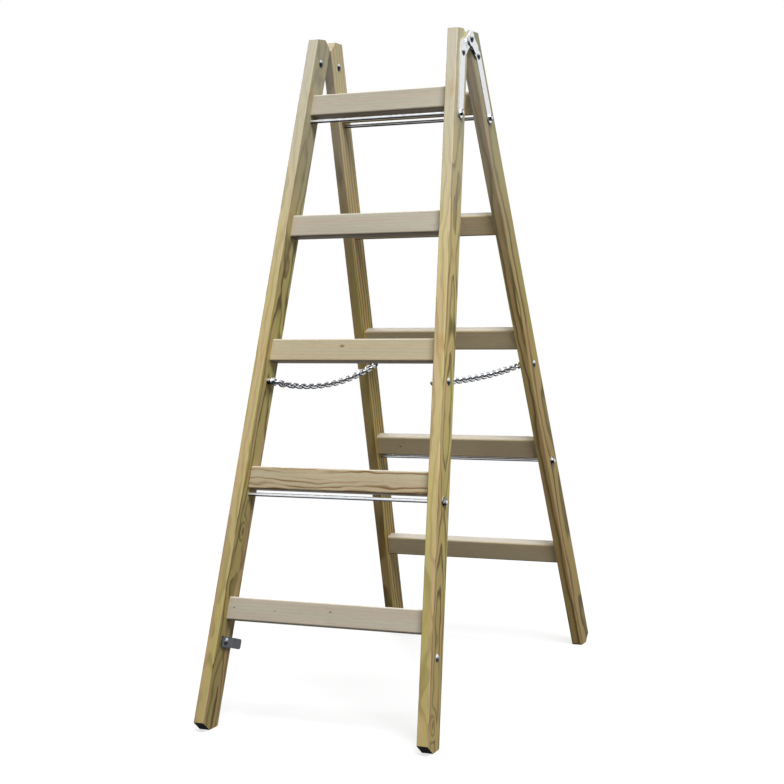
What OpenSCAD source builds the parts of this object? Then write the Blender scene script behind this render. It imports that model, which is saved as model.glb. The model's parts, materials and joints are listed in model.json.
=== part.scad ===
// Wooden trestle ladder: two tapered rung frames hinged at the top, held by two spreader chains.
// Millimetres. Origin on the floor midway between the four feet, +Z up, +X to the right,
// front frame towards -Y and rear frame towards +Y.
// Each frame is drawn flat in its own plane and then leaned: u runs up the frame from the floor
// edge of its inner side, and depth s runs outwards from that inner side (drawn along -Y).

/* [Stiles] */
// Depth of a stile, across the frame
stile_depth = 63; // [56:0.5:72]
// Thickness of a stile, side to side
stile_thick = 24; // [22:0.5:32]
// Radius on the long edges of a stile
stile_edge_r = 2.5; // [1:0.5:6]
// Distance up the inner edge from the floor to the hinge
hinge_reach = 1512; // [1450:1:1700]
// Lean of each open frame from upright, in degrees
lean = 17.6; // [14:0.1:20]
// Width over the stiles at the floor
foot_span = 528; // [500:2:620]
// Inward slope of each stile, in degrees
splay = 3.2; // [2:0.1:3.6]
// Gap left between the two frames when they are folded together
closed_gap = 3; // [2:0.5:6]

/* [Stile ends] */
// Length of the flat that stands on the floor
foot_flat = 34; // [24:1:48]
// Height of the chamfer on the outer edge of a foot
foot_chamfer_rise = 21; // [14:0.5:28]
// Small chamfer on the inner edge of a foot
foot_inner_chamfer = 4; // [1:0.5:8]
// Depth of the bevel on the inner corner of a stile's top
top_bevel_depth = 29; // [18:1:36]
// How far the top bevel starts below the hinge
top_bevel_start = 2; // [1:0.5:6]
// Height of the top ridge over the hinge
top_ridge_rise = 11.5; // [8:0.5:20]
// How far the outer top corner lies below the hinge
top_outer_drop = 1; // [0:0.5:8]

/* [Rungs] */
// Distance from one rung to the next, up the frame
rung_pitch = 280; // [270:1:290]
// Height of the first rung's top, up the frame
first_rung_top = 268.5; // [250:0.5:285]
// Height of a rung's section
rung_height = 49; // [40:0.5:54]
// Depth of a rung's section
rung_depth = 27; // [22:0.5:32]
// Distance of a rung from the inner side of the stiles
rung_inset = 13.5; // [12:0.5:18]
// Radius on the long edges of a rung
rung_edge_r = 4; // [2:0.5:8]
// Length of the stub tenon in each stile
tenon_length = 18; // [12:0.5:20]
// Shoulder left all round the tenon
tenon_shoulder = 5; // [3:0.5:7]
// Clearance of a tenon in its mortise
tenon_clearance = 0.1; // [0.05:0.05:0.3]

/* [Tie rods] */
// Diameter of a tie rod
rod_d = 8; // [6:0.5:10]
// Distance from a rung's underside down to the rod's axis
rod_drop = 11; // [8:0.5:16]
// Width across the flats of a rod nut
nut_flats = 13; // [12:0.5:17]
// Thickness of a rod nut
nut_t = 4.5; // [3:0.5:8]
// Diameter of a rod washer
washer_d = 20; // [16:0.5:24]
// Thickness of a rod washer
washer_t = 1.6; // [1:0.1:2.5]
// How far the rod ends stand out of their nuts
rod_stand_out = 1; // [0.5:0.5:4]

/* [Hinges] */
// Width of a hinge strap
strap_width = 25; // [18:0.5:28]
// Thickness of a hinge strap
strap_t = 3; // [2.5:0.25:5]
// Width of the arm from the strap to the knuckle
arm_width = 24; // [20:0.5:26]
// Distance from the hinge down to the shoulder of the front strap
shoulder_drop = 22; // [18:0.5:30]
// Height over the hinge to which the shoulder slopes up
shoulder_rise = 9; // [6:0.5:9.5]
// Distance from the hinge down the stile to the strap's upper rivet
rivet_below_hinge = 45; // [38:0.5:60]
// Radius of the front knuckle
front_knuckle_r = 12; // [10:0.5:13]
// Radius of the rear knuckle, which laps over the front one
rear_knuckle_r = 16; // [14:0.5:18]
// Diameter of the hinge pin
pin_d = 8; // [6:0.5:10]
// Running clearance of the pin in the rear knuckle, on the radius
pin_clearance = 0.05; // [0.02:0.01:0.1]
// Diameter of the pin's head and of the rivet heads
rivet_head_d = 17; // [14:0.5:20]
// Height of the pin's head and of the rivet heads
rivet_head_h = 3.25; // [2.5:0.25:6]
// Diameter of a rivet's shank
rivet_d = 7; // [5:0.5:9]

/* [Spreader chains] */
// Height of the chain bolts, up the frame
chain_height = 736; // [700:1:760]
// Pitch of the links, which is fitted to a whole number of them
link_pitch = 18.5; // [17:0.1:22]
// Diameter of the link wire
wire_d = 5; // [4:0.25:5.5]
// Inner width of a link
link_inner_w = 7; // [6.5:0.25:9]
// Sag of the left-hand chain when the ladder is open
left_chain_sag = 28; // [6:0.5:45]
// Sag of the right-hand chain when the ladder is open
right_chain_sag = 8.5; // [6:0.5:45]
// Diameter of the chain bolt where the end link hangs on it
chain_seat_d = 5.6; // [4:0.2:6.4]
// Diameter of the chain bolt through the stile
chain_bolt_d = 7; // [6:0.5:9]
// Diameter of the chain bolt's inner head
chain_head_d = 13; // [10:0.5:15]
// Height of the chain bolt's inner head
chain_head_h = 3.5; // [2:0.25:5]

/* [Closing catches] */
// Height of the catch bolts, up the frame
catch_height = 175; // [150:1:190]
// Length of a catch plate
catch_length = 79; // [70:1:90]
// Width of a catch plate
catch_width = 22; // [18:0.5:26]
// Radius on the corners of the plate's tip
catch_tip_r = 6; // [3:0.5:8]
// Thickness of a catch plate
catch_t = 4; // [3:0.25:6]
// Distance from the plate's square end to its bolt
catch_bolt_inset = 15; // [12:0.5:20]
// Diameter of the catch bolt
catch_bolt_d = 8; // [6:0.5:10]

/* [Hidden] */
$fn = 48;
// Least distance from the top rung to the hinge
least_top_reach = 80;
// Number of rungs in each frame
rung_count = floor((hinge_reach - first_rung_top - least_top_reach) / rung_pitch) + 1;
// Running gap between faces that move past each other
move_gap = 0.3;
// Clearance of a bolt or rod in its hole, on the radius
hole_clearance = 0.15;
// Extra room in a nut or strap hole, whose axis is tilted by the splay
tilt_clearance = 0.35;
// Length by which every cut runs past its face
overrun = 5;
// Length by which a countersunk pin end widens over the pin's radius
countersink = 2;
// Length of the hinge's stop lugs beyond the front knuckle
stop_lug_rise = 6;
// Width of the hinge's stop lugs
stop_lug_w = 9;
// Gap between the two stop lugs of an open hinge
stop_gap = 0.2;
// Length of the solid step that joins the rear strap to its raised knuckle
knuckle_step = 8;
// Number of end links over which a chain turns into its middle lie
twist_links = 5;
// Turn of the links in the middle of a chain, in degrees
twist_angle = 45;
// Number of moving runs in each half of a chain
half_runs = 3;

wood_yellow = [0.76, 0.66, 0.42];
wood_pale = [0.74, 0.68, 0.60];
zinc = [0.74, 0.75, 0.77];
dark_steel = [0.34, 0.34, 0.36];

half_gap = closed_gap / 2;
foot_y = hinge_reach * sin(lean) + half_gap * cos(lean);
pivot_z = hinge_reach * cos(lean) - half_gap * sin(lean);
fixing_depth = stile_depth / 2;
stile_reach = hinge_reach + top_ridge_rise;
through_x = stile_thick / cos(splay);

// Half the ladder's width over the stiles, and between them, at a height up the frame
function half_outer(u) = foot_span / 2 - u * tan(splay);
function half_inner(u) = half_outer(u) - through_x;
// Length along a stile to a height up the frame, at a distance out from the stile's outer face
function along(u, out) = (u - out * sin(splay)) / cos(splay);
// Height of the floor under a frame at depth s
function floor_u(s) = -s * tan(lean);

function rung_top(i) = first_rung_top + i * rung_pitch;
function rung_mid(i) = rung_top(i) - rung_height / 2;
function rod_u(i) = rung_top(i) - rung_height - rod_drop;
LOWER_ROD_RUNG = 1;
UPPER_ROD_RUNG = rung_count - 1;

// Places on the hinge, measured in the plane of a frame
rivet_u = hinge_reach - rivet_below_hinge;
arm_span = sqrt(pow(rivet_below_hinge, 2) + pow(fixing_depth + half_gap, 2));
arm_turn = atan2(fixing_depth + half_gap, rivet_below_hinge);
knuckle_room = front_knuckle_r + stop_lug_rise;
step_start = front_knuckle_r * 2;
step_end = step_start + knuckle_step;
knuckle_x = half_outer(hinge_reach) + (knuckle_room + front_knuckle_r) * tan(splay);
knuckle_t = strap_t;
lap_x = knuckle_x + knuckle_t + move_gap;
lap_end_x = lap_x + knuckle_t;
step_x = half_outer(hinge_reach - step_end - arm_width) + move_gap;
// Outer edge of a strap and its lower hole, from the pivot
strap_edge_y = -half_gap - fixing_depth - strap_width / 2;
rod_below_hinge = along(hinge_reach, 0) - along(rod_u(UPPER_ROD_RUNG), 0);

// Chain links: the wire's centre line is a straight-sided loop
wire_r = wire_d / 2;
loop_r = link_inner_w / 2 + wire_r;
link_half_w = loop_r + wire_r;
seat_r = chain_seat_d / 2;
// Distance from the bolt's axis to the end of the first link's pitch
seat_back = seat_r + hole_clearance;
chain_collar = link_half_w - wire_r + stile_depth * tan(splay) / 4;
// Play of the end link between the collar and the head, which tilt with the stile
seat_play = move_gap + chain_head_d * tan(splay) / 2;
chain_out = -(stile_thick + chain_collar + seat_play + wire_r);
chain_along = along(chain_height, chain_out);
chain_x = foot_span / 2 - chain_along * sin(splay) + chain_out * cos(splay);
bolt_y = foot_y - chain_height * sin(lean) + fixing_depth * cos(lean);
bolt_z = chain_height * cos(lean) + fixing_depth * sin(lean);
chain_span = 2 * (bolt_y + seat_back);
link_pairs = round((chain_span / link_pitch - 1) / 2);
link_count = 2 * link_pairs + 1;
run_links = ceil((link_pairs + 1) / half_runs);

// Slope at the ends of a chain with a given sag, and of each of its links
function end_slope(sag) = atan(4 * sag / chain_span);
function link_slope(i, ends) = -ends * (1 - i / link_pairs);
// Pitch at which the links just span from bolt to bolt
function fitted_pitch(ends) =
    let (level = [for (i = [0 : link_count - 1]) cos(link_slope(i, ends))])
    2 * (bolt_y + seat_back * cos(ends)) / (level * [for (c = level) 1]);
// Places where each link meets the one before it, as [y, z]
function link_joints(ends) =
    let (pitch = fitted_pitch(ends))
    [for (i = 0, y = -bolt_y - seat_back * cos(ends), z = bolt_z + seat_back * sin(ends);
        i <= link_count;
        y = y + pitch * cos(link_slope(i, ends)), z = z + pitch * sin(link_slope(i, ends)), i = i + 1)
        [y, z]];
// Turn of each link about the chain: quarter turns, and a slow twist in from each end
function link_turn(i) =
    i * 90 + twist_angle * min(1, min(i, link_count - 1 - i) / twist_links);
// First and last link of a run, counted from the front bolt
function front_run(k) = [k * run_links, min(link_pairs, (k + 1) * run_links - 1)];
function rear_run(k) =
    let (facing = front_run(k))
    [max(link_pairs + 1, link_count - 1 - facing[1]), link_count - 1 - facing[0]];
function rung_names(frame) = [for (i = [1 : rung_count]) str(frame, "_rung_", i)];

// Shared shapes and placings

// Rectangle from the origin with rounded corners
module rounded_rect(w, h, r) {
    translate([r, 0]) square([w - 2 * r, h]);
    translate([0, r]) square([w, h - 2 * r]);
    for (x = [r, w - r], y = [r, h - r]) translate([x, y]) circle(r);
}

// Bar with round ends from the origin up its own Y axis
module capsule(length, r) {
    translate([-r, 0]) square([2 * r, length]);
    circle(r);
    translate([0, length]) circle(r);
}

// Flat shape drawn in Y and Z, made thick along X
module along_x(t, middle = false) {
    rotate([90, 0, 90]) linear_extrude(t, center = middle) children();
}

// Cylinder along X
module bar_x(d, length) {
    rotate([0, 90, 0]) cylinder(d = d, h = length);
}

// Solid turned about X: an outline's Y runs along X
module turned_x() {
    rotate([0, 90, 0]) rotate_extrude() children();
}

// Half outlines for turning: a plain shank, and a domed head that stands up from a height
module shank_outline(d, low, high) {
    translate([0, low]) square([d / 2, high - low]);
}

module dome_outline(d, h, at) {
    ball_r = (pow(d / 2, 2) + pow(h, 2)) / (2 * h);
    translate([0, at]) intersection() {
        translate([0, h - ball_r]) circle(ball_r);
        square([d / 2, h]);
    }
}

module lean_front() {
    translate([0, -foot_y, 0]) rotate([-lean, 0, 0]) children();
}

module lean_rear() {
    mirror([0, 1, 0]) lean_front() children();
}

module left_side() {
    mirror([1, 0, 0]) children();
}

module both_sides() {
    children();
    left_side() children();
}

// Frame of the right stile: X out of its outer face, Z up along the stile
module on_stile() {
    translate([foot_span / 2, 0, 0]) rotate([0, -splay, 0]) children();
}

// Axis square to the right stile's faces, on its line of fixings. It passes the height u
// at the given distance out from the stile's outer face.
module at_fixing(u, out = 0) {
    on_stile() translate([0, -fixing_depth, along(u, out)]) children();
}

// Stiles

module stile_profile() {
    polygon([
        [0, foot_inner_chamfer],
        [-foot_inner_chamfer, floor_u(foot_inner_chamfer)],
        [-foot_flat * cos(lean), floor_u(foot_flat * cos(lean))],
        [-stile_depth, (foot_chamfer_rise - stile_depth * sin(lean)) / cos(lean)],
        [-stile_depth, hinge_reach - top_outer_drop],
        [-top_bevel_depth, stile_reach],
        [0, hinge_reach - top_bevel_start]
    ]);
}

module stile_blank() {
    intersection() {
        on_stile()
            translate([-stile_thick, -stile_depth, -stile_depth])
            linear_extrude(stile_reach + 2 * stile_depth)
            rounded_rect(stile_thick, stile_depth, stile_edge_r);
        along_x(2 * foot_span, middle = true) stile_profile();
    }
}

// Hole for a round bar through a wall that lies from low to high along X
module hole_x(d, low, high) {
    translate([low - overrun, 0, 0]) bar_x(d, high - low + 2 * overrun);
}

// Hole straight through the right stile, square to its faces
module stile_hole(u, out, d) {
    at_fixing(u, out) hole_x(d + 2 * hole_clearance, -stile_thick, 0);
}

module stile(has_catch) {
    color(wood_yellow) difference() {
        stile_blank();
        for (i = [0 : rung_count - 1]) tenon(i, tenon_clearance);
        for (i = [LOWER_ROD_RUNG, UPPER_ROD_RUNG])
            tie_rod_bar(i, rod_d + 2 * hole_clearance, foot_span / 2);
        stile_hole(rivet_u, 0, rivet_d);
        stile_hole(chain_height, chain_out, chain_bolt_d);
        if (has_catch) stile_hole(catch_height, 0, catch_bolt_d);
    }
}

// Rungs

module tenon(i, clearance) {
    half_x = half_inner(rung_mid(i)) + tenon_length + clearance;
    side_y = rung_depth - 2 * tenon_shoulder + 2 * clearance;
    side_z = rung_height - 2 * tenon_shoulder + 2 * clearance;
    translate([-half_x, -rung_inset - rung_depth / 2 - side_y / 2, rung_mid(i) - side_z / 2])
        cube([2 * half_x, side_y, side_z]);
}

module rung(i) {
    low = rung_top(i) - rung_height;
    high = rung_top(i);
    color(wood_pale) union() {
        intersection() {
            along_x(2 * foot_span, middle = true)
                translate([-rung_inset - rung_depth, low])
                rounded_rect(rung_depth, rung_height, rung_edge_r);
            rotate([90, 0, 0]) linear_extrude(2 * stile_depth, center = true) polygon([
                [-half_inner(low), low],
                [half_inner(low), low],
                [half_inner(high), high],
                [-half_inner(high), high]
            ]);
        }
        tenon(i, 0);
    }
}

// Tie rods

module tie_rod_bar(i, d, half_x) {
    translate([-half_x, -fixing_depth, rod_u(i)]) bar_x(d, 2 * half_x);
}

// How far a rod's nut sits out from the stile: on a washer, or on the hinge strap at the top
function nut_seat(i) = i == UPPER_ROD_RUNG ? strap_t : washer_t;

module tie_rod(i) {
    half_x = half_outer(rod_u(i)) + (nut_seat(i) + nut_t + rod_stand_out) / cos(splay);
    color(zinc) tie_rod_bar(i, rod_d, half_x);
}

module rod_nut(i) {
    at_fixing(rod_u(i), nut_seat(i) + nut_t / 2) translate([nut_seat(i), 0, 0]) difference() {
        rotate([0, 90, 0]) cylinder(d = nut_flats / cos(30), h = nut_t, $fn = 6);
        hole_x(rod_d + 2 * tilt_clearance, 0, nut_t);
    }
}

module rod_nuts() {
    color(zinc) for (i = [LOWER_ROD_RUNG, UPPER_ROD_RUNG]) both_sides() rod_nut(i);
}

module rod_washers() {
    color(zinc) both_sides() at_fixing(rod_u(LOWER_ROD_RUNG)) difference() {
        bar_x(washer_d, washer_t);
        hole_x(rod_d + 2 * tilt_clearance, 0, washer_t);
    }
}

// Hinges, drawn on the right-hand side

// Flat shape on the outer face of the stile, drawn from the pivot
module strap_sheet() {
    on_stile() along_x(strap_t) translate([half_gap, along(hinge_reach, 0)]) children();
}

// Arm of a strap, from the rivet over to the knuckle
module strap_arm() {
    rotate(180 - arm_turn) capsule(arm_span, arm_width / 2);
}

// Holes of a strap for its rivet and for the tie rod
module strap_holes() {
    at_fixing(rivet_u) hole_x(rivet_d + 2 * hole_clearance, 0, strap_t);
    at_fixing(rod_u(UPPER_ROD_RUNG)) hole_x(rod_d + 2 * tilt_clearance, 0, strap_t);
}

// Moves the hinge's own axis to the pivot of a frame
module at_pivot(x) {
    translate([x, half_gap, hinge_reach]) children();
}

// Lug that meets its fellow on the other strap when the ladder stands open
module stop_lug(from_r, to_r) {
    rotate(lean) translate([-stop_lug_w - stop_gap / 2, from_r]) square([stop_lug_w, to_r - from_r]);
}

// Straight part of the front strap, which ends in a shoulder that slopes up to the knuckle
module shoulder_outline() {
    polygon([
        [strap_edge_y, -rod_below_hinge],
        [strap_edge_y, -shoulder_drop],
        [0, shoulder_rise],
        [0, 0],
        [strap_edge_y + strap_width, -rivet_below_hinge],
        [strap_edge_y + strap_width, -rod_below_hinge]
    ]);
}

module front_hinge_strap() {
    color(zinc) difference() {
        union() {
            difference() {
                strap_sheet() {
                    shoulder_outline();
                    translate([-half_gap - fixing_depth, -rod_below_hinge]) circle(strap_width / 2);
                    strap_arm();
                }
                at_pivot(knuckle_x - foot_span) bar_x(2 * knuckle_room, foot_span);
            }
            at_pivot(knuckle_x) along_x(knuckle_t) {
                rotate(180 - arm_turn) capsule(knuckle_room, front_knuckle_r);
                intersection() {
                    shoulder_outline();
                    circle(step_start);
                }
                stop_lug(pin_d / 2, knuckle_room);
            }
        }
        strap_holes();
        at_pivot(knuckle_x) hole_x(pin_d + 2 * hole_clearance, 0, knuckle_t);
        at_pivot(knuckle_x) turned_x() countersink_outline(hole_clearance);
    }
}

// The rear strap's lug starts outside the front knuckle and hangs down from its own, which laps it
module rear_hinge_strap() {
    color(zinc) difference() {
        union() {
            difference() {
                union() {
                    strap_sheet() {
                        translate([-half_gap - fixing_depth, -rod_below_hinge])
                            capsule(rod_below_hinge - rivet_below_hinge, strap_width / 2);
                        strap_arm();
                    }
                    at_pivot(step_x) along_x(lap_end_x - step_x)
                        rotate(180 - arm_turn) capsule(step_end, arm_width / 2);
                }
                at_pivot(lap_x - foot_span) bar_x(2 * step_start, foot_span);
            }
            at_pivot(lap_x) bar_x(2 * rear_knuckle_r, lap_end_x - lap_x);
            at_pivot(knuckle_x) along_x(lap_end_x - knuckle_x)
                stop_lug(front_knuckle_r + move_gap, knuckle_room);
        }
        strap_holes();
        at_pivot(lap_x - foot_span) bar_x(pin_d + 2 * pin_clearance, 2 * foot_span);
    }
}

// Flared inner end of the pin, which lies flush in the front knuckle
module countersink_outline(clearance) {
    pin_r = pin_d / 2 + clearance;
    polygon([[0, 0], [pin_r + countersink, 0], [pin_r, countersink], [0, countersink]]);
}

module hinge_pin() {
    length = lap_end_x + move_gap - knuckle_x;
    color(zinc) at_pivot(knuckle_x) turned_x() {
        countersink_outline(0);
        shank_outline(pin_d, 0, length);
        dome_outline(rivet_head_d, rivet_head_h, length);
    }
}

// Bolt or rivet with a domed head at each end, its inner head below -inner and its outer above outer
module double_domed(d, inner, outer) {
    turned_x() {
        shank_outline(d, -inner, outer);
        dome_outline(rivet_head_d, rivet_head_h, outer);
        mirror([0, 1]) dome_outline(rivet_head_d, rivet_head_h, inner);
    }
}

module hinge_rivets() {
    color(zinc) both_sides() at_fixing(rivet_u) double_domed(rivet_d, stile_thick, strap_t);
}

// Spreader chains

// Bolt through the stile with a collar that holds the end link clear of the wood
module chain_bolts() {
    collar_end = stile_thick + chain_collar;
    seat_end = collar_end + wire_d + 2 * seat_play;
    color(zinc) both_sides() at_fixing(chain_height, chain_out) turned_x() {
        dome_outline(rivet_head_d, rivet_head_h, 0);
        shank_outline(chain_seat_d, -seat_end, 0);
        shank_outline(chain_bolt_d, -collar_end, 0);
        shank_outline(chain_head_d, -collar_end, -stile_thick);
        mirror([0, 1]) dome_outline(chain_head_d, chain_head_h, seat_end);
    }
}

// Welded link along Y, flat in the Y and Z plane
module link(pitch) {
    straight = pitch + wire_d + move_gap - 2 * loop_r;
    for (end = [0, 1]) mirror([0, end, 0]) translate([0, straight / 2, 0])
        rotate([0, -90, 0]) rotate_extrude(angle = 180) translate([loop_r, 0]) circle(wire_r);
    for (side = [-1, 1]) translate([0, 0, side * loop_r])
        rotate([90, 0, 0]) cylinder(r = wire_r, h = straight, center = true);
}

// Run of links of a chain, drawn on the right-hand side
module chain_run(run, sag) {
    ends = end_slope(sag);
    joints = link_joints(ends);
    color(zinc) for (i = [run[0] : run[1]]) {
        middle = (joints[i] + joints[i + 1]) / 2;
        translate([chain_x, middle[0], middle[1]])
            rotate([link_slope(i, ends), 0, 0])
            rotate([0, link_turn(i), 0])
            link(fitted_pitch(ends));
    }
}

// Closing catches

module closing_catch() {
    color(dark_steel) at_fixing(catch_height) translate([-stile_thick - move_gap, 0, 0]) difference() {
        mirror([1, 0, 0]) along_x(catch_t) translate([-catch_bolt_inset, -catch_width / 2]) {
            rounded_rect(catch_length, catch_width, catch_tip_r);
            square([catch_length - catch_tip_r, catch_width]);
        }
        hole_x(catch_bolt_d + 2 * pin_clearance, -catch_t, 0);
    }
}

module catch_bolts() {
    inner = stile_thick + catch_t + 2 * move_gap;
    color(zinc) both_sides() at_fixing(catch_height) double_domed(catch_bolt_d, inner, 0);
}

lean_front() left_side() stile(true);  // front_stile_left
lean_front() stile(true);  // front_stile_right
lean_rear() left_side() stile(false);  // rear_stile_left
lean_rear() stile(false);  // rear_stile_right
for (i = [0 : rung_count - 1]) {
    lean_front() rung(i);
    lean_rear() rung(i);
}
lean_front() tie_rod(LOWER_ROD_RUNG);  // front_tie_rod_lower
lean_front() tie_rod(UPPER_ROD_RUNG);  // front_tie_rod_upper
lean_rear() tie_rod(LOWER_ROD_RUNG);  // rear_tie_rod_lower
lean_rear() tie_rod(UPPER_ROD_RUNG);  // rear_tie_rod_upper
lean_front() rod_nuts();  // front_rod_nuts
lean_rear() rod_nuts();  // rear_rod_nuts
lean_front() rod_washers();  // front_rod_washers
lean_rear() rod_washers();  // rear_rod_washers
lean_front() left_side() front_hinge_strap();  // front_hinge_strap_left
lean_front() front_hinge_strap();  // front_hinge_strap_right
lean_rear() left_side() rear_hinge_strap();  // rear_hinge_strap_left
lean_rear() rear_hinge_strap();  // rear_hinge_strap_right
lean_front() left_side() hinge_pin();  // hinge_pin_left
lean_front() hinge_pin();  // hinge_pin_right
lean_front() hinge_rivets();  // front_hinge_rivets
lean_rear() hinge_rivets();  // rear_hinge_rivets
lean_front() chain_bolts();  // front_chain_bolts
lean_rear() chain_bolts();  // rear_chain_bolts
for (k = [0 : half_runs - 1]) {
    chain_run(front_run(k), right_chain_sag);
    chain_run(rear_run(k), right_chain_sag);
    left_side() chain_run(front_run(k), left_chain_sag);
    left_side() chain_run(rear_run(k), left_chain_sag);
}
lean_front() left_side() closing_catch();  // closing_catch_left
lean_front() closing_catch();  // closing_catch_right
lean_front() catch_bolts();
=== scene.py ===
"""Looks of a wooden trestle ladder: wood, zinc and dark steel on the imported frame, in a plain pale studio.

Units are metres and degrees. The row frame has +Z up, the front frame towards -Y and the hinge along X.
"""

import json
import math
from collections import namedtuple

import bpy
from mathutils import Matrix, Vector

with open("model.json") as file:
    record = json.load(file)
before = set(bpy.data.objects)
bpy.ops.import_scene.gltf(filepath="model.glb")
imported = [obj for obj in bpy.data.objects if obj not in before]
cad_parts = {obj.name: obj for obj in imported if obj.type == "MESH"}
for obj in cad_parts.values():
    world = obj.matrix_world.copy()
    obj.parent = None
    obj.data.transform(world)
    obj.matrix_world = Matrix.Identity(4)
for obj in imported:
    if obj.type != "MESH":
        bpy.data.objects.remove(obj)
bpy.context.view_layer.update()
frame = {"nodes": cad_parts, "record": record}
NODES = frame["nodes"]
scene = bpy.context.scene

# Camera, as the ladder was photographed
IMAGE_SIDE_PX = 784
FOCAL_PX = 1655.21
SENSOR_WIDTH = 36.0
CAMERA_AT = Vector((1.51499, -3.40912, 0.97209))
CAMERA_YAW = 24.321
CAMERA_PITCH_DOWN = 4.666
CAMERA_ROLL = -1.520

# Studio
KEY_AT = Vector((3.8, -4.0, 9.1))
TOP_AT = Vector((-0.2, -1.5, 10.0))
LAMP_AIM = Vector((0, 0, 0.7))
KEY_SIDE = 4.8
KEY_WATTS = 1130
TOP_SIDE = 4.0
TOP_WATTS = 430
BACK_AT = Vector((-4.0, 4.5, 2.2))
BACK_SIDE = 3.0
BACK_WATTS = 320
AMBIENT = 0.07
BACKGROUND = 1.0
FLOOR_SIDE = 60.0
FLOOR_PALE = (0.85, 0.85, 0.85)
FLOOR_BOUNCE = (0.12, 0.12, 0.12)
WHITE = (1.0, 1.0, 1.0)
FLOOR_SHOWS_LIGHT_SHARE = 0.30
FLOOR_FADE_FROM = 0.7
FLOOR_FADE_TO = 2.2

# Sizes of the ladder that its wood follows
LEAN_DEG = 17.6
SPLAY_DEG = 3.2
LEAN = math.radians(LEAN_DEG)
SPLAY = math.radians(SPLAY_DEG)
FOOT_SPAN = 0.528
FOOT_Y = 0.4586
STILE_DEPTH = 0.063
STILE_THICK = 0.024
RUNG_PITCH = 0.28
RUNG_MID = 0.244
RUNG_DEPTH_AT = 0.027
RUNG_COUNT = 5
MATRIX_SIDE = 4


def make_camera():
    yaw = math.radians(CAMERA_YAW)
    pitch = math.radians(CAMERA_PITCH_DOWN)
    roll = math.radians(CAMERA_ROLL)
    forward = Vector((-math.sin(yaw) * math.cos(pitch), math.cos(yaw) * math.cos(pitch), -math.sin(pitch)))
    level = Vector((math.cos(yaw), math.sin(yaw), 0))
    above = level.cross(forward)
    right = level * math.cos(roll) + above * math.sin(roll)
    up = above * math.cos(roll) - level * math.sin(roll)
    data = bpy.data.cameras.new("camera")
    data.sensor_width = SENSOR_WIDTH
    data.lens = FOCAL_PX / IMAGE_SIDE_PX * SENSOR_WIDTH
    camera = bpy.data.objects.new("camera", data)
    turn = Matrix((right, up, -forward)).transposed()
    camera.matrix_world = Matrix.Translation(CAMERA_AT) @ turn.to_4x4()
    scene.collection.objects.link(camera)
    scene.camera = camera


FULL_SHARE = 1.0
PLAIN_SCALE = 1.0
RISING = (0.0, 1.0)
FALLING = (1.0, 0.0)


class Shade:
    """A node tree and short ways to add nodes to it."""

    def __init__(self, tree):
        self.nodes = tree.nodes
        self.links = tree.links

    def feed(self, socket, value):
        if isinstance(value, bpy.types.NodeSocket):
            self.links.new(value, socket)
        elif socket.type == "RGBA":
            socket.default_value = (*value, 1)
        else:
            socket.default_value = value

    def node(self, kind, **settings):
        node = self.nodes.new(kind)
        for name, value in settings.items():
            setattr(node, name, value)
        return node

    def sum(self, operation, *values):
        node = self.node("ShaderNodeMath", operation=operation)
        for socket, value in zip(node.inputs, values):
            self.feed(socket, value)
        return node.outputs[0]

    def vector(self, operation, *values):
        node = self.node("ShaderNodeVectorMath", operation=operation)
        for socket, value in zip(node.inputs, values):
            self.feed(socket, value)
        return node.outputs["Value" if operation in ("DOT_PRODUCT", "LENGTH") else "Vector"]

    def join(self, x, y, z):
        node = self.node("ShaderNodeCombineXYZ")
        for socket, value in zip(node.inputs, (x, y, z)):
            self.feed(socket, value)
        return node.outputs[0]

    def parts(self, vector):
        node = self.node("ShaderNodeSeparateXYZ")
        self.feed(node.inputs[0], vector)
        return node.outputs

    def noise(self, vector, scale, seed, detail):
        node = self.node("ShaderNodeTexNoise", noise_dimensions="4D")
        self.feed(node.inputs["Vector"], self.vector("MULTIPLY", vector, scale))
        self.feed(node.inputs["W"], seed)
        self.feed(node.inputs["Scale"], PLAIN_SCALE)
        self.feed(node.inputs["Detail"], detail)
        return node.outputs["Fac"]

    def ease(self, value, span, to):
        node = self.node("ShaderNodeMapRange", interpolation_type="SMOOTHSTEP")
        for socket, given in zip(node.inputs, (value, *span, *to)):
            self.feed(socket, given)
        return node.outputs[0]

    def mix(self, share, a, b, blend="MIX"):
        node = self.node("ShaderNodeMix", data_type="RGBA", blend_type=blend)
        self.feed(node.inputs["Factor"], share)
        colours = [socket for socket in node.inputs if socket.type == "RGBA"]
        self.feed(colours[0], a)
        self.feed(colours[1], b)
        return next(socket for socket in node.outputs if socket.type == "RGBA")

    def tint(self, colour, by):
        return self.mix(FULL_SHARE, colour, by, "MULTIPLY")

    def bump(self, height, distance, strength):
        node = self.node("ShaderNodeBump")
        self.feed(node.inputs["Height"], height)
        self.feed(node.inputs["Distance"], distance)
        self.feed(node.inputs["Strength"], strength)
        return node.outputs[0]


def new_material(name):
    material = bpy.data.materials.new(name)
    material.use_nodes = True
    shade = Shade(material.node_tree)
    return material, shade, shade.nodes["Principled BSDF"]


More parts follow.
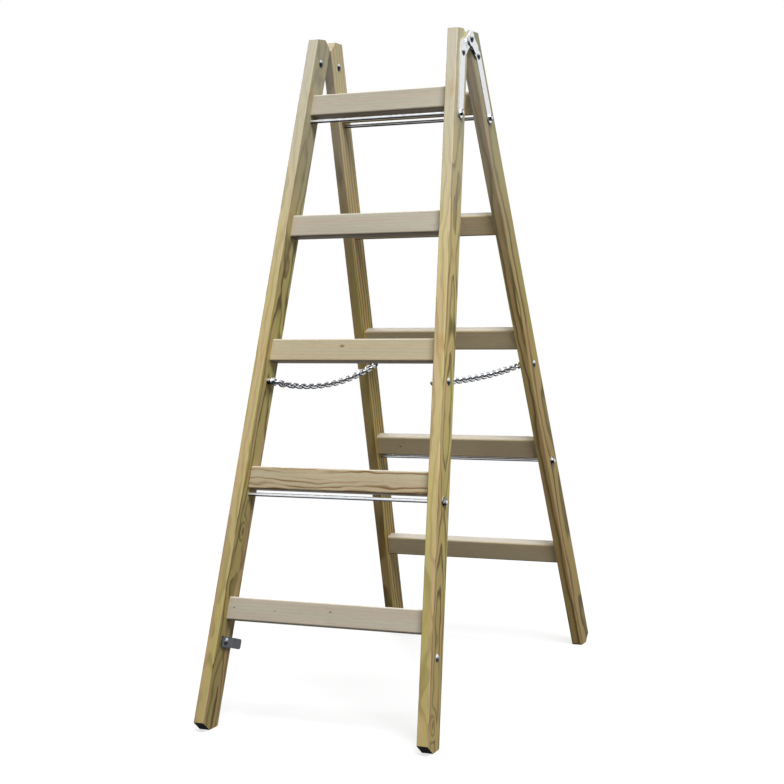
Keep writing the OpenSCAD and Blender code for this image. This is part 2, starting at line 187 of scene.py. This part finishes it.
# Kinds of wood: pale early wood and dark late wood in rings, warm and cool streaks between them
Kind = namedtuple("Kind", "early late warm cool ring_pitch ring_share plain_share streak_share fibre_share "
                          "fleck_share drift narrow_share weathered_share")
PINE = Kind(
    early=(0.58, 0.475, 0.225), late=(0.14, 0.10, 0.025),
    warm=(0.60, 0.445, 0.255), cool=(0.54, 0.48, 0.185),
    ring_pitch=0.0088, ring_share=1.0, plain_share=0.45, streak_share=0.9, fibre_share=0.10,
    fleck_share=0.0, drift=0.070, narrow_share=0.35, weathered_share=0.7)
REAR_PINE = PINE._replace(
    early=(0.54, 0.42, 0.16), warm=(0.60, 0.38, 0.21), cool=(0.50, 0.41, 0.145),
    ring_pitch=0.0135, plain_share=0.2, drift=0.040, narrow_share=0.85, weathered_share=0.6)
BEECH = Kind(
    early=(0.46, 0.42, 0.335), late=(0.38, 0.28, 0.17),
    warm=(0.48, 0.395, 0.31), cool=(0.44, 0.42, 0.345),
    ring_pitch=0.0070, ring_share=0.16, plain_share=0.75, streak_share=0.5, fibre_share=0.08,
    fleck_share=0.35, drift=0.010, narrow_share=1.0, weathered_share=0.0)
YELLOW_BEECH = BEECH._replace(early=(0.50, 0.43, 0.29), warm=(0.52, 0.41, 0.26), cool=(0.47, 0.43, 0.29))
# Paler beech on the rear rungs: a yellower wood, plus painted light that lifts their shaded front faces
REAR_BEECH = BEECH._replace(early=(0.64, 0.53, 0.34), warm=(0.66, 0.50, 0.31), cool=(0.61, 0.53, 0.34))
FIGURED_BEECH = YELLOW_BEECH._replace(
    late=(0.19, 0.105, 0.04), warm=(0.49, 0.36, 0.215), ring_pitch=0.0105, ring_share=0.95, plain_share=1.0,
    streak_share=0.55, drift=0.110)

# How one piece was sawn: pith is where the middle of the tree lies across it, tilt how that moves along it
Board = namedtuple("Board", "kind pith tilt seed knots wide_tint")
Knot = namedtuple("Knot", "at radius")

# Scales of the grain per metre, across it twice and then along it
DRIFT_SCALE = (9.0, 9.0, 3.6)
STREAK_SCALE = (130.0, 130.0, 1.8)
PATCH_SCALE = (57.0, 57.0, 2.2)
TONE_SCALE = (14.0, 14.0, 2.6)
FIBRE_SCALE = (1500.0, 1500.0, 40.0)
FLECK_SCALE = (700.0, 700.0, 110.0)
SMEAR_SCALE = (60.0, 60.0, 14.0)
COARSE_DETAIL = 3.0
FINE_DETAIL = 2.0
PATCH_SEED = 11.0
STREAK_SEED = 23.0
TONE_SEED = 37.0
FIBRE_SEED = 41.0
SMEAR_SEED = 53.0
FLECK_SEED = 61.0

# A ring darkens slowly through the year and ends sharply
RING_RISE_SHARES = (0.42, 0.80)
RING_FALL_SHARES = (0.88, 1.0)
PATCH_SPAN = (0.36, 0.62)
STREAK_SPAN = (0.41, 0.59)
TONE_SPAN = (0.3, 0.7)
TONE_LEVELS = (0.92, 1.08)
FIBRE_SPAN = (0.25, 0.75)
FLECK_SPAN = (0.60, 0.72)
SMEAR_SPAN = (0.42, 0.68)
WIDE_SPAN = (0.5, 0.9)

# Knots bend the rings round them
KNOT_BEND_REACH = 3.5
KNOT_BEND_RINGS = 2.2
KNOT_CORE_FROM = 0.4
KNOT_CORE_TO = 1.1
KNOT_SHARE = 0.8
KNOT_BROWN = (0.20, 0.11, 0.045)

# Grey tops, a darker foot, stains by the joints and sawn ends; dirt and painted shade on soles, painted
# light on rung tops and painted shade under rungs
WEATHERED = (0.52, 0.50, 0.445)
WEATHERED_SPAN = (0.85, 1.5)
FOOT_TINT = (0.84, 0.81, 0.74)
FOOT_TINT_SPAN = (0.1, 0.75)
STAIN_BROWN = (0.42, 0.25, 0.085)
STAIN_REACH = (0.018, 0.040)
STAIN_SHARE = 0.45
END_GRAIN = (0.30, 0.24, 0.14)
END_SPAN = (0.55, 0.75)
END_SHARES = (0.0, 0.5)
# Soles painted near black: partly dirt, partly painted shade where they face the ground
SOLE_DIRT_AND_SHADE = (0.006, 0.006, 0.007)
SOLE_SPAN = (-0.65, -0.45)
# Rung tops painted paler: painted light where they face up
TREAD_PAINTED_LIGHT = (0.60, 0.57, 0.51)
TREAD_SPAN = (0.5, 0.9)
TREAD_SHARES = (0.0, 0.8)
# Rung undersides painted dark brown: painted shade where they face down
UNDER_PAINTED_SHADE = (0.085, 0.06, 0.035)
UNDER_SPAN = (-0.75, -0.25)
UNDER_SHARES = (0.85, 0.0)

WOOD_SPECULAR = 0.15
WOOD_ROUGHNESS = (0.46, 0.60)
LATE_RELIEF_SHARE = 0.5
FIBRE_BUMP = 0.0004
FIBRE_BUMP_STRENGTH = 0.35


def growth_rings(shade, at, board, knot_stretch):
    """How much of each point is dark late wood, and how much is the core of a knot."""
    kind = board.kind
    x, y, z = shade.parts(at)
    drift = shade.noise(at, DRIFT_SCALE, board.seed, COARSE_DETAIL)
    from_pith = shade.join(
        shade.sum("SUBTRACT", x, shade.sum("MULTIPLY_ADD", z, board.tilt[0], board.pith[0])),
        shade.sum("SUBTRACT", y, shade.sum("MULTIPLY_ADD", z, board.tilt[1], board.pith[1])), 0.0)
    ring = shade.sum("MULTIPLY_ADD", drift, kind.drift, shade.vector("LENGTH", from_pith))
    core = 0.0
    for knot in board.knots:
        off = shade.vector("MULTIPLY", shade.vector("SUBTRACT", at, knot.at), knot_stretch)
        reach = shade.vector("LENGTH", off)
        bend = (KNOT_BEND_RINGS * kind.ring_pitch, 0.0)
        ring = shade.sum("ADD", ring, shade.ease(reach, (0.0, KNOT_BEND_REACH * knot.radius), bend))
        core_span = (KNOT_CORE_FROM * knot.radius, KNOT_CORE_TO * knot.radius)
        core = shade.sum("MAXIMUM", core, shade.ease(reach, core_span, FALLING))
    phase = shade.sum("FRACT", shade.sum("DIVIDE", ring, kind.ring_pitch))
    late = shade.sum("MULTIPLY", shade.ease(phase, RING_RISE_SHARES, RISING),
                     shade.ease(phase, RING_FALL_SHARES, FALLING))
    patch = shade.noise(at, PATCH_SCALE, board.seed + PATCH_SEED, FINE_DETAIL)
    late = shade.sum("MULTIPLY", late, shade.ease(patch, PATCH_SPAN, (1 - kind.plain_share, 1.0)))
    return late, core


def wood(name, board, place, stile):
    """Sawn wood whose grain runs along the Z axis of a place on the ladder."""
    kind = board.kind
    material, shade, shader = new_material(name)
    coordinates = shade.node("ShaderNodeTexCoord")
    normal = coordinates.outputs["Normal"]
    mapping = shade.node("ShaderNodeMapping", vector_type="TEXTURE")
    shade.feed(mapping.inputs["Vector"], coordinates.outputs["Object"])
    shade.feed(mapping.inputs["Location"], place.to_translation())
    shade.feed(mapping.inputs["Rotation"], place.to_euler())
    at = mapping.outputs[0]
    wide_axis = place.to_3x3().col[0]
    grain_axis = place.to_3x3().col[2]
    squareness = shade.sum("ABSOLUTE", shade.vector("DOT_PRODUCT", normal, wide_axis))
    wide = shade.ease(squareness, WIDE_SPAN, RISING)
    late, core = growth_rings(shade, at, board, STILE_KNOT_STRETCH if stile else RUNG_KNOT_STRETCH)
    if stile:
        late = shade.sum("MULTIPLY", late, shade.ease(wide, RISING, (kind.narrow_share, 1.0)))

    # Colour: long streaks, rings, flecks, slow tone and fibres
    streak = shade.noise(at, STREAK_SCALE, board.seed + STREAK_SEED, COARSE_DETAIL)
    colour = shade.mix(shade.ease(streak, STREAK_SPAN, RISING), kind.warm, kind.cool)
    colour = shade.mix(kind.streak_share, kind.early, colour)
    colour = shade.mix(shade.sum("MULTIPLY", late, kind.ring_share), colour, kind.late)
    if kind.fleck_share:
        fleck = shade.noise(at, FLECK_SCALE, board.seed + FLECK_SEED, FINE_DETAIL)
        colour = shade.mix(shade.ease(fleck, FLECK_SPAN, (0.0, kind.fleck_share)), colour, kind.late)
    tone = shade.noise(at, TONE_SCALE, board.seed + TONE_SEED, FINE_DETAIL)
    fibre = shade.noise(at, FIBRE_SCALE, board.seed + FIBRE_SEED, FINE_DETAIL)
    level = shade.sum("ADD", shade.ease(tone, TONE_SPAN, TONE_LEVELS),
                      shade.ease(fibre, FIBRE_SPAN, (-kind.fibre_share, kind.fibre_share)))
    colour = shade.tint(colour, shade.join(level, level, level))
    if stile:
        along = shade.parts(at)[2]
        colour = shade.mix(shade.ease(along, WEATHERED_SPAN, (0.0, kind.weathered_share)), colour, WEATHERED)
        # Wide faces tinted: their own tone plus painted light and shade per stile
        colour = shade.mix(wide, colour, shade.tint(colour, board.wide_tint))
        low = shade.ease(along, FOOT_TINT_SPAN, FALLING)
        colour = shade.mix(low, colour, shade.tint(colour, FOOT_TINT))
        to_joint = shade.sum("PINGPONG", shade.sum("SUBTRACT", along, RUNG_MID), RUNG_PITCH / 2)
        smear = shade.noise(at, SMEAR_SCALE, board.seed + SMEAR_SEED, COARSE_DETAIL)
        stain = shade.sum("MULTIPLY", shade.ease(to_joint, STAIN_REACH, FALLING),
                          shade.ease(smear, SMEAR_SPAN, (0.0, STAIN_SHARE)))
        colour = shade.mix(stain, colour, STAIN_BROWN)
    if board.knots:
        colour = shade.mix(shade.sum("MULTIPLY", core, KNOT_SHARE), colour, KNOT_BROWN)

    # Sawn ends are darker, soles are dirty and in painted shade, rung tops get painted light and rung
    # undersides painted shade
    facing = shade.vector("DOT_PRODUCT", normal, grain_axis)
    colour = shade.mix(shade.ease(facing, END_SPAN, END_SHARES), colour, END_GRAIN)
    rough = shade.ease(fibre, FIBRE_SPAN, WOOD_ROUGHNESS)
    if stile:
        # Soles: dirt and painted shade
        sole = shade.ease(facing, SOLE_SPAN, FALLING)
        colour = shade.mix(sole, colour, SOLE_DIRT_AND_SHADE)
        rough = shade.sum("MAXIMUM", rough, sole)
    else:
        upward = shade.parts(normal)[2]
        # Painted light on faces that point up
        colour = shade.mix(shade.ease(upward, TREAD_SPAN, TREAD_SHARES), colour, TREAD_PAINTED_LIGHT)
        # Painted shade on faces that point down
        colour = shade.mix(shade.ease(upward, UNDER_SPAN, UNDER_SHARES), colour, UNDER_PAINTED_SHADE)

    shade.feed(shader.inputs["Base Color"], colour)
    shade.feed(shader.inputs["Specular IOR Level"], WOOD_SPECULAR)
    shade.feed(shader.inputs["Roughness"], rough)
    relief = shade.sum("SUBTRACT", fibre, shade.sum("MULTIPLY", late, LATE_RELIEF_SHARE))
    shade.feed(shader.inputs["Normal"], shade.bump(relief, FIBRE_BUMP, FIBRE_BUMP_STRENGTH))
    return material


def dress(node_name, material):
    materials = NODES[node_name].data.materials
    materials.clear()
    materials.append(material)


# Stiles: grain from the middle of the foot up, X across the thickness and Y across the depth
STILE_KNOT_STRETCH = (0.35, 1.0, 0.45)
STILE_SEEN_FACE = STILE_THICK / 2
# The tint of each stile's wide faces is partly the wood's own tone and partly painted light and shade; on
# the front-left stile it paints shade onto the inner face
STILES = {
    "front_stile_left": Board(
        kind=PINE, pith=(-0.006, 0.006), tilt=(-0.022, -0.006), seed=3.0,
        knots=[Knot(at=(STILE_SEEN_FACE, 0.0, 0.41), radius=0.005)], wide_tint=(0.85, 0.83, 0.72)),
    "front_stile_right": Board(
        kind=PINE, pith=(-0.008, -0.004), tilt=(-0.022, 0.006), seed=7.0,
        knots=[Knot(at=(STILE_SEEN_FACE, -0.008, 0.045), radius=0.006)], wide_tint=(1.14, 1.12, 0.92)),
    "rear_stile_left": Board(
        kind=REAR_PINE, pith=(-0.010, -0.090), tilt=(0.004, 0.008), seed=13.0,
        knots=[], wide_tint=(1.25, 1.22, 0.98)),
    "rear_stile_right": Board(
        kind=REAR_PINE, pith=(-0.060, 0.020), tilt=(-0.006, 0.004), seed=19.0,
        knots=[], wide_tint=(0.90, 0.95, 0.76)),
}
for side, sign in (("left", -1), ("right", 1)):
    for end, toward in (("front", -1), ("rear", 1)):
        stile_name = f"{end}_stile_{side}"
        corner = Matrix.Translation((sign * FOOT_SPAN / 2, toward * FOOT_Y, 0))
        lean = Matrix.Rotation(toward * LEAN, MATRIX_SIDE, "X")
        splay = Matrix.Rotation(-sign * SPLAY, MATRIX_SIDE, "Y")
        middle = Matrix.Translation((-sign * STILE_THICK / 2, toward * STILE_DEPTH / 2, 0))
        place = corner @ lean @ splay @ middle
        dress(stile_name, wood(f"pine_{stile_name}", STILES[stile_name], place, True))

# Rungs: grain along X, with the rung's height as the wood's X and its depth as the wood's Y
RUNG_KNOT_STRETCH = (1.0, 0.35, 0.6)
RUNG_FRONT = -0.0135
RUNG_KINDS = {"front_rung_2": FIGURED_BEECH, "front_rung_3": YELLOW_BEECH}
RUNG_KNOTS = {
    "front_rung_1": [
        Knot(at=(0.006, RUNG_FRONT, -0.013), radius=0.0024),
        Knot(at=(0.002, RUNG_FRONT, 0.212), radius=0.0022),
        Knot(at=(0.0, RUNG_FRONT, 0.115), radius=0.0016)],
    "front_rung_3": [Knot(at=(0.008, RUNG_FRONT, 0.0255), radius=0.0042)],
    "rear_rung_2": [
        Knot(at=(0.0, RUNG_FRONT, 0.148), radius=0.0026),
        Knot(at=(0.010, RUNG_FRONT, 0.135), radius=0.0018)],
}
RUNG_PITH = 0.09
RUNG_PITH_STEP = 0.01
RUNG_PITH_DEEP = 0.02
RUNG_TILT = 0.01
RUNG_TILT_STEP = 0.004
RUNG_SEEDS = {"front": 31.0, "rear": 78.0}
FIGURED_SEED = 57.0
RUNG_SEED_STEP = 5.3
RUNG_AXES = Matrix(((0, 0, 1), (0, 1, 0), (-1, 0, 0))).transposed().to_4x4()
MIDDLE_RUNG = RUNG_COUNT // 2
for end, toward, usual in (("front", -1, BEECH), ("rear", 1, REAR_BEECH)):
    for i in range(RUNG_COUNT):
        rung_name = f"{end}_rung_{i + 1}"
        kind = RUNG_KINDS.get(rung_name, usual)
        seed = FIGURED_SEED if kind is FIGURED_BEECH else RUNG_SEEDS[end] + RUNG_SEED_STEP * i
        board = Board(
            kind=kind, pith=(RUNG_PITH + RUNG_PITH_STEP * i, RUNG_PITH_DEEP),
            tilt=(RUNG_TILT, RUNG_TILT_STEP * (i - MIDDLE_RUNG)), seed=seed,
            knots=RUNG_KNOTS.get(rung_name, []), wide_tint=WHITE)
        foot = Matrix.Translation((0, toward * FOOT_Y, 0))
        lean = Matrix.Rotation(toward * LEAN, MATRIX_SIDE, "X")
        middle = Matrix.Translation((0, toward * RUNG_DEPTH_AT, RUNG_MID + i * RUNG_PITCH))
        place = foot @ lean @ middle @ RUNG_AXES
        dress(rung_name, wood(f"beech_{rung_name}", board, place, False))

# Steel: bright zinc with painted shade where it faces down, standing in for dark reflections of the ground,
# and dark worn steel
ZINC_PALE = (0.80, 0.82, 0.84)
ZINC_GREY = (0.77, 0.79, 0.82)
# Painted shade: the colour zinc turns to where it faces down, standing in for dark reflections of the ground
ZINC_PAINTED_SHADE = (0.018, 0.022, 0.032)
STRAP_DARK_SPAN = (-0.55, -0.05)
ROD_DARK_SPAN = (-0.35, 0.20)
LINK_DARK_SPAN = (-0.10, 0.42)
DOME_DARK_SPAN = (0.10, 0.62)
ZINC_METALLIC = 0.9
ZINC_ROUGHNESS = (0.26, 0.42)
SPANGLE_SCALE = 260.0
SPANGLE_SPAN = (0.5, 1.5)
GRIME_SCALE = (90.0, 90.0, 90.0)
GRIME_SPAN = (0.3, 0.7)
GRIME_DETAIL = 3.0
SHADE_EDGE_SHIFT = 0.2
ZINC_SEED = 5.0
STEEL_DARK = (0.055, 0.062, 0.072)
STEEL_WORN = (0.12, 0.126, 0.138)
STEEL_METALLIC = 0.8
STEEL_ROUGHNESS = (0.35, 0.55)
STEEL_SPAN = (0.35, 0.75)
STEEL_SEED = 8.0


def zinc(name, dark_span):
    material, shade, shader = new_material(name)
    coordinates = shade.node("ShaderNodeTexCoord")
    spangle = shade.node("ShaderNodeTexVoronoi")
    shade.feed(spangle.inputs["Vector"], coordinates.outputs["Object"])
    shade.feed(spangle.inputs["Scale"], SPANGLE_SCALE)
    flake = shade.parts(spangle.outputs["Color"])[0]
    blotch = shade.noise(coordinates.outputs["Object"], GRIME_SCALE, ZINC_SEED, GRIME_DETAIL)
    bright = shade.ease(shade.sum("ADD", flake, blotch), SPANGLE_SPAN, RISING)
    colour = shade.mix(bright, ZINC_GREY, ZINC_PALE)
    # Painted shade where the normal points down, its edge shifted by the blotches
    upward = shade.parts(coordinates.outputs["Normal"])[2]
    upward = shade.sum("MULTIPLY_ADD", blotch, SHADE_EDGE_SHIFT, upward)
    colour = shade.mix(shade.ease(upward, dark_span, FALLING), colour, ZINC_PAINTED_SHADE)
    shade.feed(shader.inputs["Base Color"], colour)
    shade.feed(shader.inputs["Metallic"], ZINC_METALLIC)
    shade.feed(shader.inputs["Roughness"], shade.ease(blotch, GRIME_SPAN, ZINC_ROUGHNESS))
    return material


def dark_steel(name):
    material, shade, shader = new_material(name)
    at = shade.node("ShaderNodeTexCoord").outputs["Object"]
    blotch = shade.noise(at, GRIME_SCALE, STEEL_SEED, GRIME_DETAIL)
    shade.feed(shader.inputs["Base Color"],
               shade.mix(shade.ease(blotch, STEEL_SPAN, RISING), STEEL_DARK, STEEL_WORN))
    shade.feed(shader.inputs["Metallic"], STEEL_METALLIC)
    shade.feed(shader.inputs["Roughness"], shade.ease(blotch, GRIME_SPAN, STEEL_ROUGHNESS))
    return material


# Which zinc a piece has, by a word in its name: painted shade reaches highest on domes, then links, rods and
# straps
ZINCS = {
    "strap": zinc("strap_zinc", STRAP_DARK_SPAN),
    "tie_rod": zinc("rod_zinc", ROD_DARK_SPAN),
    "chain_": zinc("link_zinc", LINK_DARK_SPAN),
    "dome": zinc("dome_zinc", DOME_DARK_SPAN),
}
DOME_WORDS = ("rivets", "bolts", "nuts", "washers", "pin")
DARK_STEEL = dark_steel("dark_steel")
for sub in frame["record"]["subparts"]:
    if sub["material_slot"] == "dark_steel":
        dress(sub["node"], DARK_STEEL)
    elif sub["material_slot"] == "galvanised_steel":
        domed = any(word in sub["node"] for word in DOME_WORDS)
        word = "dome" if domed else next(word for word in ZINCS if word in sub["node"])
        dress(sub["node"], ZINCS[word])


# Studio: white for the camera and for reflections, plain light for everything else
def seen_share(shade):
    path = shade.node("ShaderNodeLightPath")
    either = shade.sum("MAXIMUM", path.outputs["Is Camera Ray"], path.outputs["Is Glossy Ray"])
    return shade.sum("MAXIMUM", either, path.outputs["Is Transmission Ray"])


def make_world():
    world = bpy.data.worlds.new("world")
    scene.world = world
    world.use_nodes = True
    shade = Shade(world.node_tree)
    background = shade.nodes["Background"]
    shade.feed(background.inputs["Color"], WHITE)
    strength = shade.ease(seen_share(shade), RISING, (AMBIENT, BACKGROUND))
    shade.feed(background.inputs["Strength"], strength)


def make_floor():
    half = FLOOR_SIDE / 2
    mesh = bpy.data.meshes.new("floor")
    corners = [(-half, -half, 0), (half, -half, 0), (half, half, 0), (-half, half, 0)]
    mesh.from_pydata(corners, [], [range(len(corners))])
    floor = bpy.data.objects.new("floor", mesh)
    scene.collection.objects.link(floor)
    material = bpy.data.materials.new("floor")
    material.use_nodes = True
    shade = Shade(material.node_tree)
    shade.nodes.remove(shade.nodes["Principled BSDF"])
    pale = shade.node("ShaderNodeBsdfDiffuse")
    shade.feed(pale.inputs["Color"], FLOOR_PALE)
    glow = shade.node("ShaderNodeEmission")
    shade.feed(glow.inputs["Color"], WHITE)
    shown = shade.node("ShaderNodeMixShader")
    reach = shade.vector("LENGTH", shade.node("ShaderNodeTexCoord").outputs["Object"])
    fade = (FLOOR_FADE_FROM, FLOOR_FADE_TO)
    shade.feed(shown.inputs[0], shade.ease(reach, fade, (FLOOR_SHOWS_LIGHT_SHARE, 0.0)))
    shade.links.new(glow.outputs[0], shown.inputs[1])
    shade.links.new(pale.outputs[0], shown.inputs[2])
    dim = shade.node("ShaderNodeBsdfDiffuse")
    shade.feed(dim.inputs["Color"], FLOOR_BOUNCE)
    choice = shade.node("ShaderNodeMixShader")
    shade.feed(choice.inputs[0], seen_share(shade))
    shade.links.new(dim.outputs[0], choice.inputs[1])
    shade.links.new(shown.outputs[0], choice.inputs[2])
    shade.links.new(choice.outputs[0], shade.nodes["Material Output"].inputs["Surface"])
    mesh.materials.append(material)


def make_lamp(name, at, side, watts):
    data = bpy.data.lights.new(name, "AREA")
    data.shape = "DISK"
    data.size = side
    data.energy = watts
    lamp = bpy.data.objects.new(name, data)
    lamp.location = at
    lamp.rotation_euler = (LAMP_AIM - at).to_track_quat("-Z", "Y").to_euler()
    scene.collection.objects.link(lamp)


make_camera()
scene.view_settings.view_transform = "Standard"
make_world()
make_floor()
make_lamp("key", KEY_AT, KEY_SIDE, KEY_WATTS)
make_lamp("top", TOP_AT, TOP_SIDE, TOP_WATTS)
make_lamp("back", BACK_AT, BACK_SIDE, BACK_WATTS)
